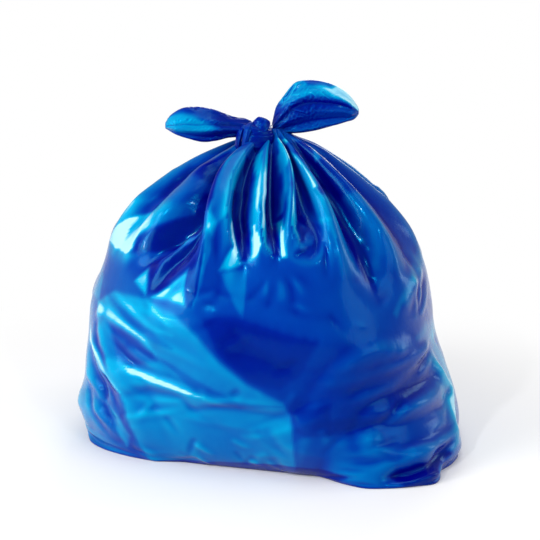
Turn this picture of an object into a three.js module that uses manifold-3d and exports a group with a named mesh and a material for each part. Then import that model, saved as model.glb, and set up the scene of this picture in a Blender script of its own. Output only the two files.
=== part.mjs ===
// A filled plastic garbage bag, standing on the floor and tied at the top in a half knot with two ears.
// Millimetres, +Z up. The origin is the middle of the flat patch that the bag stands on, and -Y is its front.
import * as THREE from "three";
import { ParametricGeometry } from "three/addons/geometries/ParametricGeometry.js";
import { mergeVertices } from "three/addons/utils/BufferGeometryUtils.js";
import Module from "manifold-3d";

const wasm = await Module();
wasm.setup();

// Driving dimensions
const BELLY_WIDTH = 436; // the widest part of the bag, along its long side
const BELLY_DEPTH = 304; // the same from front to back
const NECK_HEIGHT = 352; // floor to the top of the gathered neck, inside the knot
const NECK_OFFSET = 4; // how far the neck stands to the right of the middle
const NECK_RADIUS = 13; // the gathered film where it goes into the knot
const PLAN_TURN = -15; // degrees that the long side is turned away from the front
const PLEAT_DEPTH = 14; // the deepest gathers below the neck
const RIGHT_CORNER_REACH = 40; // the bag's bottom corners stick out this far along the floor
const LEFT_CORNER_REACH = 10;
const KNOT_WIDTH = 34;
const KNOT_HEIGHT = 32;
const KNOT_FORWARD = 11; // how far the knot's middle stands in front of the neck's
const KNOT_DROP = 11.5; // how far the knot's middle lies below the neck's top
const KNOT_DEPTH = 30.6;
const EAR_PUFF = 10; // half the thickness of an ear at its fullest
const LEFT_EAR_LENGTH = 92;
const RIGHT_EAR_LENGTH = 90;

// Mesh steps
const BODY_COLUMNS = 104;
const BODY_ROWS = 40;
const BASE_ROWS = 2; // rows across the flat patch under the bag
const EAR_COLUMNS = 20;
const EAR_ROWS = 15;
const KNOT_COLUMNS = 32;
const KNOT_ROWS = 20;
const PATH_STEPS = 5; // straight pieces between two points of a fold's path

const FILM_BLUE = 0x0a4fb0;
const COLUMN_STEP = 360 / BODY_COLUMNS;
const HALF_WIDTH = BELLY_WIDTH / 2;
const HALF_DEPTH = BELLY_DEPTH / 2;

// The film's outline from the floor (level 0) to the knot. Each height is a share of the neck's height, and
// each reach a share of the half width or half depth. square is the plan's exponent, where 2 is an ellipse.
const LEVELS = [
  { height: 0.0, left: 0.905, right: 0.95, front: 0.79, back: 0.84, square: 3.2 },
  { height: 0.045, left: 0.945, right: 0.98, front: 0.875, back: 0.92, square: 3.1 },
  { height: 0.128, left: 0.972, right: 0.96, front: 0.94, back: 0.97, square: 2.9 },
  { height: 0.227, left: 0.945, right: 0.908, front: 0.98, back: 1.0, square: 2.6 },
  { height: 0.341, left: 0.925, right: 0.845, front: 1.0, back: 1.0, square: 2.5 },
  { height: 0.455, left: 0.918, right: 0.82, front: 0.985, back: 0.985, square: 2.4 },
  { height: 0.568, left: 0.848, right: 0.782, front: 0.935, back: 0.94, square: 2.3 },
  { height: 0.676, left: 0.798, right: 0.722, front: 0.845, back: 0.855, square: 2.3 },
  { height: 0.761, left: 0.7, right: 0.615, front: 0.725, back: 0.737, square: 2.2 },
  { height: 0.832, left: 0.535, right: 0.48, front: 0.566, back: 0.58, square: 2.2 },
  { height: 0.892, left: 0.37, right: 0.355, front: 0.395, back: 0.408, square: 2.1 },
  { height: 0.94, left: 0.21, right: 0.24, front: 0.237, back: 0.237, square: 2.0 },
  { height: 0.97, left: 0.095, right: 0.11, front: 0.12, back: 0.12, square: 2.0 },
];
const TOP_LEVEL = LEVELS.length; // the neck itself, as wide as NECK_RADIUS

const { lerp, clamp, smoothstep, degToRad, euclideanModulo } = THREE.MathUtils;

// The bottom corners of the bag, which stick out along the floor. Each is flat over part of its spread in
// degrees, and gone at the level given as its top. tuck is the share of its reach that is rounded away at the
// floor. The right one has a lesser bulge on its side.
const CORNERS = [
  { angle: -52, spread: 18, reach: RIGHT_CORNER_REACH, top: 2.4, tuck: 0 },
  { angle: -29, spread: 18, reach: 0.4 * RIGHT_CORNER_REACH, top: 2.6, tuck: 0 },
  { angle: -156, spread: 26, reach: LEFT_CORNER_REACH, top: 1.2, tuck: 0 },
];

// A smooth curve through evenly spaced values, read at a fractional place.
function along(values, place) {
  const last = values.length - 1;
  const i = clamp(Math.floor(place), 0, last - 1);
  const t = place - i;
  const [a, b, c, d] = [-1, 0, 1, 2].map((k) => values[clamp(i + k, 0, last)]);
  return b + 0.5 * t * (c - a + t * (2 * a - 5 * b + 4 * c - d + t * (3 * (b - c) + d - a)));
}

const profile = (key, scale, atNeck) => [...LEVELS.map((level) => level[key] * scale), atNeck];
const heights = profile("height", NECK_HEIGHT, NECK_HEIGHT);
const lefts = profile("left", HALF_WIDTH, NECK_RADIUS);
const rights = profile("right", HALF_WIDTH, NECK_RADIUS);
const fronts = profile("front", HALF_DEPTH, NECK_RADIUS);
const backs = profile("back", HALF_DEPTH, NECK_RADIUS);
const squares = profile("square", 1, 2);

function cornerReach({ angle: middle, spread, reach, top, tuck }, angle, level) {
  const away = Math.abs(((angle - middle + 540) % 360) - 180);
  const tucked = reach * (1 - tuck * (1 - smoothstep(level, 0, 1)));
  return tucked * (1 - smoothstep(away, 0.4 * spread, spread)) * (1 - smoothstep(level, 0, top));
}

// The film without its folds, at an angle in degrees round the bag (0 is right, -90 is front) and a level.
function smoothFilm(angle, level) {
  const turned = degToRad(angle - PLAN_TURN);
  const c = Math.cos(turned);
  const s = Math.sin(turned);
  const n = along(squares, level);
  const reachX = along(c < 0 ? lefts : rights, level);
  const reachY = along(s < 0 ? fronts : backs, level);
  const plan = (Math.abs(c / reachX) ** n + Math.abs(s / reachY) ** n) ** (-1 / n);
  const r = CORNERS.reduce((sum, corner) => sum + cornerReach(corner, angle, level), plan);
  const z = along(heights, level);
  const direction = degToRad(angle);
  const x = NECK_OFFSET * (z / NECK_HEIGHT) + r * Math.cos(direction);
  return new THREE.Vector3(x, r * Math.sin(direction), z);
}

function smoothNormal(angle, level) {
  const low = Math.max(level - 0.02, 0);
  const high = Math.min(level + 0.02, TOP_LEVEL);
  const round = smoothFilm(angle + 0.5, level).sub(smoothFilm(angle - 0.5, level));
  const up = smoothFilm(angle, high).sub(smoothFilm(angle, low));
  return round.cross(up).normalize();
}

// The gathers below the neck, from the front's right to its left. Each is a ridge, or a valley where its
// height is negative: the height as a share of PLEAT_DEPTH, the level where it has run out, and its angle at
// the levels 12, 11, 10, 9, 8, 7 and 6. The film is flat from each of them to the next.
const gathers = [
  { height: 0, end: 6.6, angles: [-8, -7, -6, -6, -7, -8, -9] },
  { height: -0.8, end: 5.6, angles: [-20, -22, -22, -21, -23, -24, -22] },
  { height: 0.6, end: 5.4, angles: [-32, -38, -41, -40, -40, -38, -37] },
  { height: -1.2, end: 5.3, angles: [-44, -50, -51, -50, -50, -49, -48] },
  { height: 0.8, end: 6.4, angles: [-54, -58, -60, -60, -60, -60, -60] },
  { height: -0.7, end: 7.4, angles: [-65, -69, -71, -71, -69, -68, -68] },
  { height: 0.9, end: 6.6, angles: [-76, -79, -81, -83, -84, -83, -82] },
  { height: -1.2, end: 7.0, angles: [-87, -89, -90, -88, -88, -87, -87] },
  { height: 1.0, end: 6.3, angles: [-98, -101, -100, -98, -96, -96, -96] },
  { height: -1.1, end: 6.8, angles: [-109, -112, -109, -105, -103, -101, -101] },
  { height: 0.6, end: 6.0, angles: [-121, -122, -121, -113, -110, -110, -112] },
  { height: 1.2, end: 5.2, angles: [-134, -137, -135, -126, -122, -121, -122] },
  { height: -1.6, end: 6.2, angles: [-146, -148, -142, -131, -133, -144, -148] },
  { height: 0.6, end: 5.8, angles: [-160, -162, -160, -154, -152, -156, -158] },
  { height: -0.9, end: 6.6, angles: [-172, -174, -173, -169, -165, -165, -167] },
  { height: 0.3, end: 6.0, angles: [-184, -186, -186, -181, -177, -176, -177] },
  { height: -0.8, end: 7.0, angles: [-196, -198, -198, -194, -190, -188, -188] },
  { height: 0, end: 6.6, angles: [-206, -207, -207, -205, -201, -199, -199] },
  ...backGathers(),
];
const RIDGE_FADE = 2.2; // levels over which a ridge runs out, and a valley, which ends in a pocket
const VALLEY_FADE = 1.1;
// How deep the pleats are at each level
const PLEATED = [0, 0, 0, 0, 0.1, 0.3, 0.6, 0.85, 1, 1, 0.8, 0.52, 0.22, 0];

// The creases where the film runs taut over what is inside: height in millimetres, negative for a valley, how
// far the film falls away to the left and to the right of it, and its path as points of [angle, level].
const creases = [
  {
    height: 9, left: 34, right: 64,
    path: [
      [-169, 5.2], [-145, 5.4], [-129, 5.2], [-118, 4.9],
      [-108, 4.2], [-96, 3.7], [-82, 3.1], [-76, 2.4],
    ],
  },
  { height: 8, left: 60, right: 70, path: [[-80, 3.1], [-76, 2.4], [-77, 1.4], [-79, 0.1]] },
  {
    height: 5, left: 9, right: 34,
    path: [[-155, 3.9], [-148, 3.8], [-136, 3.6], [-118, 3.3], [-100, 3.2], [-82, 3.2]],
  },
  {
    height: -4, left: 10, right: 22,
    path: [[-151, 2.9], [-138, 3.2], [-119, 3.1], [-98, 3.0], [-82, 2.8], [-76, 2.2]],
  },
  {
    height: 8, left: 34, right: 13,
    path: [[-170, 4.4], [-158, 3.8], [-149, 3.0], [-145, 1.8], [-144, 0.5]],
  },
  { height: -6, left: 11, right: 12, path: [[-170, 4.0], [-160, 3.0], [-154, 2.1], [-152, 1.0]] },
  {
    height: 5, left: 22, right: 34,
    path: [[-132, 5.6], [-113, 5.5], [-94, 5.3], [-75, 5.0], [-62, 4.8], [-48, 4.8], [-18, 4.2]],
  },
  {
    height: 6, left: 28, right: 13,
    path: [[-20, 4.0], [-42, 4.4], [-53, 4.6], [-64, 4.2], [-72, 3.4], [-77, 2.4]],
  },
  {
    height: -7, left: 13, right: 16,
    path: [[-19, 3.3], [-40, 3.3], [-52, 2.7], [-59, 2.5], [-73, 2.4]],
  },
  {
    height: 7, left: 13, right: 20,
    path: [[-18, 2.9], [-46, 2.9], [-55, 2.5], [-54, 1.6], [-52, 1.0]],
  },
  {
    height: 8, left: 12, right: 15,
    path: [[-22, 4.0], [-17, 3.2], [-13, 2.6], [-22, 1.7], [-26, 1.1]],
  },
  { height: 4, left: 12, right: 20, path: [[-9, 6.2], [-29, 5.9], [-39, 5.4], [-45, 4.9]] },
  { height: -12, left: 13, right: 12, path: [[-56, 0.9], [-48, 1.1], [-42, 1.2], [-31, 1.2]] },
  { height: 4, left: 14, right: 10, path: [[-124, 8.3], [-130, 7.7], [-137, 7.2], [-143, 6.6]] },
  {
    height: -9, left: 13, right: 12,
    path: [[-123, 8.2], [-126, 7.6], [-130, 7.0], [-136, 6.5], [-140, 5.8]],
  },
  ...backCreases(),
];
const CREASE_FADE_IN = 0.2; // shares of a crease's path over which it rises and, at its end, runs out
const CREASE_FADE_OUT = 0.45;

// The gathers behind, alternately a valley and a ridge, at uneven angles and of uneven length.
function backGathers() {
  const count = 17;
  return Array.from({ length: count }, (_, i) => {
    const angle = -215 - (140 * i) / (count - 1) + 1.5 * Math.sin(2.4 * i);
    const drift = 4 * Math.sin(0.7 * i);
    const height = i % 2 ? 0.1 + 0.25 * Math.sin(1.3 * i) : -1.1 - 0.35 * Math.sin(2.9 * i);
    const end = 6.4 + 0.9 * Math.sin(1.7 * i + 1);
    return { height, end, angles: Array.from({ length: 7 }, (_, k) => angle + (drift * k) / 6) };
  });
}

// The slanting creases of the back and the ends, which fan out from where the contents press on the film.
function backCreases() {
  const presses = [
    { angle: 172, level: 4.6, fan: [[150, 5.6], [138, 3.6], [146, 2]] },
    { angle: 18, level: 3.8, fan: [[44, 5.2], [52, 3], [40, 1.6]] },
    { angle: 96, level: 4.4, fan: [[122, 5.4], [70, 5.2], [112, 2.6], [80, 2.2]] },
  ];
  return presses.flatMap(({ angle, level, fan }) =>
    fan.map(([a, l], i) => ({
      height: i % 2 ? -6 : 8,
      left: 16,
      right: 26,
      path: [[angle, level], [(angle + a) / 2 + 2, (level + l) / 2 + 0.2], [a, l]],
    })),
  );
}

function pathPoints(path) {
  const angles = path.map((p) => p[0]);
  const levels = path.map((p) => p[1]);
  const steps = (path.length - 1) * PATH_STEPS;
  return Array.from({ length: steps + 1 }, (_, i) => {
    const place = i / PATH_STEPS;
    return smoothFilm(along(angles, place), along(levels, place));
  });
}

const creaseLines = creases.map((crease) => ({ ...crease, points: pathPoints(crease.path) }));

// How far the creases together lift the film at a point of the smooth film: tents with a slope on each side.
function creaseLift(point, normal) {
  const line = new THREE.Line3();
  const nearest = new THREE.Vector3();
  const step = new THREE.Vector3();
  const off = new THREE.Vector3();
  let lift = 0;
  for (const { points, height, left, right } of creaseLines) {
    let best = Infinity;
    let place = 0;
    let side = 0;
    for (let i = 0; i + 1 < points.length; i++) {
      line.set(points[i], points[i + 1]);
      const t = line.closestPointToPointParameter(point, true);
      const away = line.at(t, nearest).distanceTo(point);
      if (away < best) {
        best = away;
        place = (i + t) / (points.length - 1);
        off.subVectors(point, points[i]);
        side = line.delta(step).cross(off).dot(normal) / line.distance();
      }
    }
    const reach = lerp(right, left, smoothstep(side / (best + 1e-9), -0.4, 0.4));
    if (best >= reach) continue;
    const fade = Math.min(place / CREASE_FADE_IN, 1) * Math.min((1 - place) / CREASE_FADE_OUT, 1);
    lift += height * fade * (1 - best / reach);
  }
  return lift;
}

// The gathers in their order round the bag. Each keeps to one column of the mesh.
const gatherLines = gathers
  .map(({ height, end, angles }) => {
    const upwards = angles.map((angle) => euclideanModulo(angle, 360)).reverse();
    return { height, end, upwards, column: Math.round(upwards[0] / COLUMN_STEP) };
  })
  .sort((a, b) => a.column - b.column);

// What a value that each gather has comes to at a column between two of them.
function between(column, value) {
  const found = gatherLines.findIndex((line) => line.column > column);
  const after = gatherLines[Math.max(found, 0)];
  const before = gatherLines.at(Math.max(found, 0) - 1);
  const gap = euclideanModulo(after.column - before.column, BODY_COLUMNS);
  const share = euclideanModulo(column - before.column, BODY_COLUMNS) / gap;
  return lerp(value(before), value(after), share);
}

function columnAngle(column, level) {
  const drift = (line) => along(line.upwards, clamp(level - 6, 0, 6)) - line.column * COLUMN_STEP;
  return column * COLUMN_STEP + smoothstep(level, 3.5, 6) * between(column, drift);
}

function gatherLift(column, level) {
  const share = ({ height, end }) =>
    height * clamp((level - end) / (height < 0 ? VALLEY_FADE : RIDGE_FADE), 0, 1);
  return PLEAT_DEPTH * along(PLEATED, level) * between(column, share);
}

function bodyPoint(u, v, target) {
  const row = v * (BODY_ROWS + BASE_ROWS + 1);
  const column = Math.round(u * BODY_COLUMNS) % BODY_COLUMNS;
  const level = (TOP_LEVEL * (row - BASE_ROWS)) / BODY_ROWS;
  if (level > TOP_LEVEL) return target.set(NECK_OFFSET, 0, NECK_HEIGHT);
  if (level <= 0) {
    foldedFilm(column, 0, target);
    return target.multiplyScalar(row / BASE_ROWS).setZ(0);
  }
  return foldedFilm(column, level, target);
}

function foldedFilm(column, level, target) {
  const angle = columnAngle(column, level);
  const point = smoothFilm(angle, level);
  const normal = smoothNormal(angle, level);
  const room = 0.4 * Math.hypot(point.x - NECK_OFFSET, point.y); // a valley stops short of the neck's middle
  const lift = Math.max(gatherLift(column, level) + creaseLift(point, normal), -room);
  target.copy(point).addScaledVector(normal, lift);
  if (level === 0) target.z = 0;
  target.z = Math.max(target.z, 0);
  return target;
}

// An ear, lofted along a spine: at(place) gives its middle, half height, half thickness and swell.
function loft(columns, rows, at) {
  return new ParametricGeometry(
    (u, v, target) => {
      const row = v * (rows + 2) - 1;
      const { middle, high, thick, swell } = at(clamp(row / rows, 0, 1));
      if (row < -0.5 || row > rows + 0.5) return target.copy(middle);
      const turn = 2 * Math.PI * u;
      target.copy(middle);
      target.addScaledVector(high, Math.cos(turn));
      return target.addScaledVector(thick, Math.sin(turn) * swell(turn));
    },
    columns,
    rows + 2,
  );
}

function solidOf(geometry) {
  const bare = new THREE.BufferGeometry();
  bare.setAttribute("position", geometry.getAttribute("position"));
  bare.setIndex(geometry.index);
  const merged = mergeVertices(bare, 1e-3);
  const index = merged.index.array;
  const kept = [];
  for (let i = 0; i < index.length; i += 3) {
    const [a, b, c] = [index[i], index[i + 1], index[i + 2]];
    if (a !== b && b !== c && c !== a) kept.push(a, b, c);
  }
  return new wasm.Manifold(
    new wasm.Mesh({
      numProp: 3,
      vertProperties: merged.getAttribute("position").array,
      triVerts: new Uint32Array(kept),
    }),
  );
}

function geometryOf(solid) {
  const mesh = solid.getMesh();
  const geometry = new THREE.BufferGeometry();
  geometry.setAttribute("position", new THREE.BufferAttribute(mesh.vertProperties, 3));
  geometry.setIndex(new THREE.BufferAttribute(mesh.triVerts, 1));
  geometry.computeVertexNormals();
  return geometry;
}

// Each ear is given by its upper and lower edge as seen from the front, [x, z] from the neck's top, and by
// how far forward its middle lies, all as shares of the ear's length. ridge is where the crest of its side
// lies, from -1 at the lower edge to 1 at the upper one.
const EARS = [
  {
    length: LEFT_EAR_LENGTH,
    upper: [
      [-0.12, 0.0], [-0.3, 0.1], [-0.5, 0.15], [-0.68, 0.225],
      [-0.86, 0.265], [-1.04, 0.265], [-1.18, 0.19], [-1.25, 0.09],
    ],
    lower: [
      [-0.12, -0.14], [-0.3, -0.085], [-0.5, -0.08], [-0.66, -0.108],
      [-0.82, -0.118], [-1.0, -0.07], [-1.16, -0.02], [-1.25, 0.025],
    ],
    forward: [0.07, 0.11, 0.15, 0.2, 0.22, 0.24, 0.24, 0.24],
    ridge: 0.1,
  },
  {
    length: RIGHT_EAR_LENGTH,
    upper: [
      [0.0, 0.04], [0.07, 0.24], [0.16, 0.375], [0.29, 0.53], [0.45, 0.57],
      [0.64, 0.56], [0.82, 0.505], [0.95, 0.41], [1.025, 0.29], [1.05, 0.22],
    ],
    lower: [
      [0.06, -0.1], [0.2, -0.055], [0.36, -0.03], [0.52, 0.003], [0.66, 0.038],
      [0.79, 0.07], [0.9, 0.098], [0.98, 0.118], [1.03, 0.145], [1.05, 0.165],
    ],
    forward: [0.02, 0.02, 0.035, 0.045, 0.055, 0.065, 0.065, 0.065, 0.055, 0.055],
    ridge: 0.45,
  },
];

function ear({ length, upper, lower, forward, ridge }) {
  const last = upper.length - 1;
  const read = (edge, k, place) => along(edge.map((p) => p[k]), place * last) * length;
  return loft(EAR_COLUMNS, EAR_ROWS, (place) => {
    const top = new THREE.Vector3(read(upper, 0, place), 0, read(upper, 1, place));
    const bottom = new THREE.Vector3(read(lower, 0, place), 0, read(lower, 1, place));
    const middle = top.clone().add(bottom).multiplyScalar(0.5);
    middle.add(new THREE.Vector3(NECK_OFFSET, -along(forward, place * last) * length, NECK_HEIGHT));
    const high = top.clone().sub(bottom).multiplyScalar(0.5);
    const puff = Math.min(EAR_PUFF * (0.75 + 0.35 * Math.sin(Math.PI * place)), 0.8 * high.length() + 0.5);
    const side = Math.sign(upper[last][0]);
    const thick = new THREE.Vector3(0, -side * puff, 0);
    const swell = (turn) => {
      const across = Math.cos(turn);
      const tent = 1 - Math.abs(across - ridge) / (1 + Math.abs(ridge));
      return 0.75 + 0.35 * tent + 0.12 * Math.cos(9 * across + 4 * place);
    };
    return { middle, high, thick, swell };
  });
}

// The half knot is a lump of turned film in front of the neck. Its bands are the turns of the two gathered
// halves: each runs round the lump at a tilt, offset from its middle, with a groove on either side.
const KNOT = new THREE.Vector3(NECK_OFFSET - 0.5 * KNOT_WIDTH, -KNOT_FORWARD, NECK_HEIGHT - KNOT_DROP);
const KNOT_SIZE = new THREE.Vector3(KNOT_WIDTH, KNOT_DEPTH, KNOT_HEIGHT);
const KNOT_CORE = 0.46; // the lump's radius between its bands, as a share of its size
const GROOVE = 0.35; // how deep the groove beside a band is, as a share of the band's lift
const BANDS = [
  { tilt: 42, offset: 0.2, width: 0.2, lift: 0.13 },
  { tilt: 12, offset: -0.26, width: 0.17, lift: 0.1 },
  { tilt: 84, offset: 0.3, width: 0.15, lift: 0.1 },
];
const NOSE = { towards: new THREE.Vector3(0.58, -0.2, 0.8).normalize(), spread: 25, lift: 0.34 };

function knotPoint(u, v, target) {
  const round = 2 * Math.PI * u;
  const rise = Math.PI * (v - 0.5);
  target.set(Math.cos(rise) * Math.cos(round), Math.cos(rise) * Math.sin(round), Math.sin(rise));
  let r = KNOT_CORE;
  for (const { tilt, offset, width, lift } of BANDS) {
    const across = 0.5 * (target.z * Math.cos(degToRad(tilt)) - target.x * Math.sin(degToRad(tilt)));
    const away = (across - offset) / width;
    r += lift * (Math.exp(-away * away) - GROOVE * Math.exp(-6 * (Math.abs(away) - 1.5) ** 2));
  }
  const fromNose = THREE.MathUtils.radToDeg(target.angleTo(NOSE.towards)) / NOSE.spread;
  r += NOSE.lift * Math.exp(-fromNose * fromNose);
  return target.multiplyScalar(r).multiply(KNOT_SIZE).add(KNOT);
}

const body = new ParametricGeometry(bodyPoint, BODY_COLUMNS, BODY_ROWS + BASE_ROWS + 1);
const knot = new ParametricGeometry(knotPoint, KNOT_COLUMNS, KNOT_ROWS);
const pieces = [body, knot, ...EARS.map(ear)].map(solidOf);
const whole = pieces.reduce((sum, piece) => sum.add(piece));

const film = new THREE.MeshStandardMaterial({ color: FILM_BLUE, roughness: 0.28, metalness: 0 });
const bag = new THREE.Mesh(geometryOf(whole), film);
bag.name = "garbage_bag";
const part = new THREE.Group();
part.add(bag);
export default part;
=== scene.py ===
"""A filled plastic garbage bag, tied in a half knot: its film, its knot and its two ears.

The shapes are worked out in millimetres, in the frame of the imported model, and turned into metres when a mesh
is made.
"""

import math

import bpy
import numpy as np
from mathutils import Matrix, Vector

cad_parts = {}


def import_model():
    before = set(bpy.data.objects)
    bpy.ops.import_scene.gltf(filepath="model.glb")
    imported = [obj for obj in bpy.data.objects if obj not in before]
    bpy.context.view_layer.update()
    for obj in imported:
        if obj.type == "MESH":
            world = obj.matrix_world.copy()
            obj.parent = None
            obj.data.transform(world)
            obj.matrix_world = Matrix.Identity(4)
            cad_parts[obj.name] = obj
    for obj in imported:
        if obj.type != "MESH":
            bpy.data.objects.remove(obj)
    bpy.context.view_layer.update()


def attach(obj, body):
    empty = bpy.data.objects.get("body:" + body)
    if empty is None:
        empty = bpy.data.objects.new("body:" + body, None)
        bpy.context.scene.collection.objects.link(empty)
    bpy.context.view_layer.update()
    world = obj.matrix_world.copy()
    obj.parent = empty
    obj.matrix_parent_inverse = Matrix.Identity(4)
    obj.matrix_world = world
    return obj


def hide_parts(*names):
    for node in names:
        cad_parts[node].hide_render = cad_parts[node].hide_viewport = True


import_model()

MM = 0.001

# The bag's driving dimensions
BELLY_WIDTH = 436.0
BELLY_DEPTH = 304.0
NECK_HEIGHT = 352.0
NECK_OFFSET = 4.0
NECK_RADIUS = 13.0
PLAN_TURN = -15.0
PLEAT_DEPTH = 14.0
RIGHT_CORNER_REACH = 40.0
LEFT_CORNER_REACH = 10.0
KNOT_WIDTH = 34.0
KNOT_HEIGHT = 32.0
KNOT_FORWARD = 11.0
KNOT_DROP = 11.5
KNOT_DEPTH = 30.6
EAR_PUFF = 10.0
LEFT_EAR_LENGTH = 92.0
RIGHT_EAR_LENGTH = 90.0

# The outline from the floor (level 0) to the knot, one row for each level: its height as a share of the
# neck's, its reaches to the left, right, front and back as shares of the half width and half depth, and the
# exponent of its plan, where 2 is an ellipse.
LEVELS = np.array(
    [
        (0.0, 0.905, 0.95, 0.79, 0.84, 3.2),
        (0.045, 0.945, 0.98, 0.875, 0.92, 3.1),
        (0.128, 0.972, 0.96, 0.94, 0.97, 2.9),
        (0.227, 0.945, 0.908, 0.98, 1.0, 2.6),
        (0.341, 0.925, 0.845, 1.0, 1.0, 2.5),
        (0.455, 0.918, 0.82, 0.985, 0.985, 2.4),
        (0.568, 0.848, 0.782, 0.935, 0.94, 2.3),
        (0.676, 0.798, 0.722, 0.845, 0.855, 2.3),
        (0.761, 0.7, 0.615, 0.725, 0.737, 2.2),
        (0.832, 0.535, 0.48, 0.566, 0.58, 2.2),
        (0.892, 0.37, 0.355, 0.395, 0.408, 2.1),
        (0.94, 0.21, 0.24, 0.237, 0.237, 2.0),
        (0.97, 0.095, 0.11, 0.12, 0.12, 2.0),
    ]
)
TOP = len(LEVELS)
SCALES = np.array(
    [NECK_HEIGHT, BELLY_WIDTH / 2, BELLY_WIDTH / 2, BELLY_DEPTH / 2, BELLY_DEPTH / 2, 1.0]
)
AT_NECK = np.array([NECK_HEIGHT, NECK_RADIUS, NECK_RADIUS, NECK_RADIUS, NECK_RADIUS, 2.0])
HEIGHTS, LEFTS, RIGHTS, FRONTS, BACKS, SQUARES = np.vstack([LEVELS * SCALES, AT_NECK]).T

# The bottom corners: angle, spread in degrees, reach along the floor, and the level where each is gone
CORNERS = [
    (-52, 18, RIGHT_CORNER_REACH, 2.4),
    (-29, 18, 0.4 * RIGHT_CORNER_REACH, 2.6),
    (-156, 26, LEFT_CORNER_REACH, 1.2),
]

# The gathers below the neck, from the front's right to its left. Each is a ridge, or a valley where its
# height is negative: the height as a share of the pleats' depth, the level where it has run out, and its
# angle at the levels 12, 11, 10, 9, 8, 7 and 6. The film is flat from each of them to the next.
GATHERS = [
    (0, 6.6, (-8, -7, -6, -6, -7, -8, -9)),
    (-0.8, 5.6, (-20, -22, -22, -21, -23, -24, -22)),
    (0.6, 5.4, (-32, -38, -41, -40, -40, -38, -37)),
    (-1.2, 5.3, (-44, -50, -51, -50, -50, -49, -48)),
    (0.8, 6.4, (-54, -58, -60, -60, -60, -60, -60)),
    (-0.7, 7.4, (-65, -69, -71, -71, -69, -68, -68)),
    (0.9, 6.6, (-76, -79, -81, -83, -84, -83, -82)),
    (-1.2, 7.0, (-87, -89, -90, -88, -88, -87, -87)),
    (1.0, 6.3, (-98, -101, -100, -98, -96, -96, -96)),
    (-1.1, 6.8, (-109, -112, -109, -105, -103, -101, -101)),
    (0.6, 6.0, (-121, -122, -121, -113, -110, -110, -112)),
    (1.2, 5.2, (-134, -137, -135, -126, -122, -121, -122)),
    (-1.6, 6.2, (-146, -148, -142, -131, -133, -144, -148)),
    (0.6, 5.8, (-160, -162, -160, -154, -152, -156, -158)),
    (-0.9, 6.6, (-172, -174, -173, -169, -165, -165, -167)),
    (0.3, 6.0, (-184, -186, -186, -181, -177, -176, -177)),
    (-0.8, 7.0, (-196, -198, -198, -194, -190, -188, -188)),
    (0, 6.6, (-206, -207, -207, -205, -201, -199, -199)),
]
BACK_GATHERS = 17
RIDGE_FADE = 2.2  # levels over which a ridge runs out, and a valley, which ends in a pocket
VALLEY_FADE = 1.1
PLEATED = [0, 0, 0, 0, 0.1, 0.3, 0.6, 0.85, 1, 1, 0.8, 0.52, 0.22, 0]  # how deep the pleats are at each level

# The creases where the film runs taut over what is inside: height in millimetres (negative is a valley), how
# far the film falls away to the left and to the right of it, and its path as points of angle and level.
CREASES = [
    (9, 34, 64, [
        (-169, 5.2), (-145, 5.4), (-129, 5.2), (-118, 4.9), (-108, 4.2), (-96, 3.7), (-82, 3.1), (-76, 2.4),
    ]),
    (8, 60, 70, [(-80, 3.1), (-76, 2.4), (-77, 1.4), (-79, 0.1)]),
    (5, 9, 34, [(-155, 3.9), (-148, 3.8), (-136, 3.6), (-118, 3.3), (-100, 3.2), (-82, 3.2)]),
    (-4, 10, 22, [(-151, 2.9), (-138, 3.2), (-119, 3.1), (-98, 3.0), (-82, 2.8), (-76, 2.2)]),
    (4, 10, 10, [(-166, 5.1), (-161, 4.8), (-156, 4.5), (-146, 3.9)]),
    (8, 34, 13, [(-170, 4.4), (-158, 3.8), (-149, 3.0), (-145, 1.8), (-144, 0.5)]),
    (-6, 11, 12, [(-170, 4.0), (-160, 3.0), (-154, 2.1), (-152, 1.0)]),
    (5, 22, 34, [(-132, 5.6), (-113, 5.5), (-94, 5.3), (-75, 5.0), (-62, 4.8), (-48, 4.8), (-18, 4.2)]),
    (6, 28, 13, [(-20, 4.0), (-42, 4.4), (-53, 4.6), (-64, 4.2), (-72, 3.4), (-77, 2.4)]),
    (-7, 13, 16, [(-19, 3.3), (-40, 3.3), (-52, 2.7), (-59, 2.5), (-73, 2.4)]),
    (7, 13, 20, [(-18, 2.9), (-46, 2.9), (-55, 2.5), (-54, 1.6), (-52, 1.0)]),
    (8, 12, 15, [(-22, 4.0), (-17, 3.2), (-13, 2.6), (-22, 1.7), (-26, 1.1)]),
    (4, 12, 20, [(-9, 6.2), (-29, 5.9), (-39, 5.4), (-45, 4.9)]),
    (-12, 13, 12, [(-56, 0.9), (-48, 1.1), (-42, 1.2), (-31, 1.2)]),
    (4, 14, 10, [(-124, 8.3), (-130, 7.7), (-137, 7.2), (-143, 6.6)]),
    (-9, 13, 12, [(-123, 8.2), (-126, 7.6), (-130, 7.0), (-136, 6.5), (-140, 5.8)]),
]
# Finer creases in a fan: where it starts, its two outermost ends, how many there are, their height and reach
FANS = [
    ((-167, 5.1), (-112, 4.1), (-150, 2.7), 6, 2.2, 8),
    ((-17, 4.2), (-72, 3.8), (-58, 2.4), 6, 2.4, 9),
    ((-100, 3.3), (-150, 2.2), (-146, 3.3), 4, 1.6, 7),
    ((-20, 1.6), (-60, 1.8), (-56, 0.5), 5, 3.0, 9),
    ((-172, 3.2), (-148, 2.2), (-152, 0.8), 4, 3.0, 9),
    ((-84, 6.9), (-72, 5.3), (-100, 5.4), 5, 1.4, 8),
    ((-40, 12.2), (-12, 8.6), (-64, 8.0), 9, 1.6, 5),
    ((-160, 12.0), (-186, 8.8), (-146, 8.0), 7, 1.4, 6),
    ((-30, 5.0), (-26, 6.6), (-6, 5.9), 5, 1.8, 7),
]
WRINKLES = 240  # short fine creases all over the film
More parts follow.
